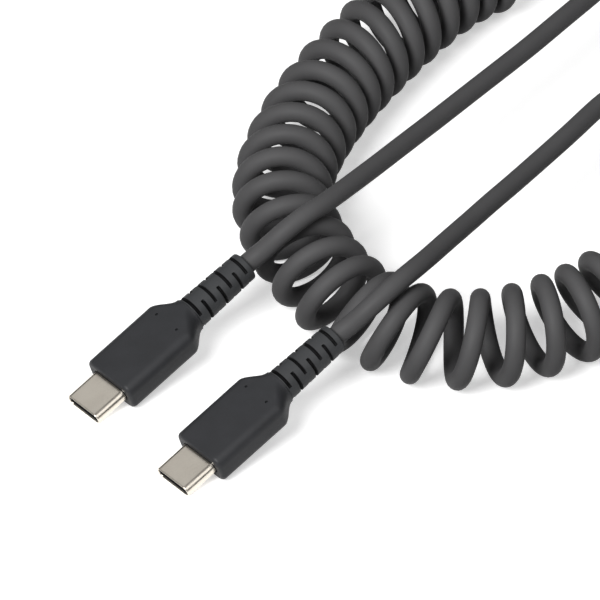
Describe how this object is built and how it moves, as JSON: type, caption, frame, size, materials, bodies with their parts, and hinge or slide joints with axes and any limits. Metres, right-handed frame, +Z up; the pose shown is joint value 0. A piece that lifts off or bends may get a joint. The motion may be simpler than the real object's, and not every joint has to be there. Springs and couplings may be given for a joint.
{
  "type": "coiled usb-c cable",
  "caption": "Coiled charging and data cable: a curly middle stretch in an open C, straight leads crossing it, and a USB-C plug with a slotted strain relief at each end.",
  "frame": {"origin": "on the floor, under the middle of the cable's footprint", "axes": "+Z up, square to the floor that the cable lies on; +Y and +X lie in the floor, with the plugs' tips towards -X and -Y; the cable is longest along Y"},
  "size_m": [0.1226, 0.1464, 0.0225],
  "materials": {
    "cord_jacket": "satin, soft-touch elastomer",
    "housing_plastic": "fine matte",
    "relief_rubber": "matte",
    "shell_steel": "satin nickel plate",
    "insulator": "moulded",
    "contact_metal": "gold flash"
  },
  "bodies": {
    "root": {"curly_cord": "cord_jacket", "lead_a": "cord_jacket", "lead_b": "cord_jacket", "plug_a_shell": "shell_steel", "plug_a_insulator": "insulator", "plug_a_contacts": "contact_metal", "plug_a_housing": "housing_plastic", "plug_a_strain_relief": "relief_rubber", "plug_b_shell": "shell_steel", "plug_b_insulator": "insulator", "plug_b_contacts": "contact_metal", "plug_b_housing": "housing_plastic", "plug_b_strain_relief": "relief_rubber"}
  },
  "joints": []
}
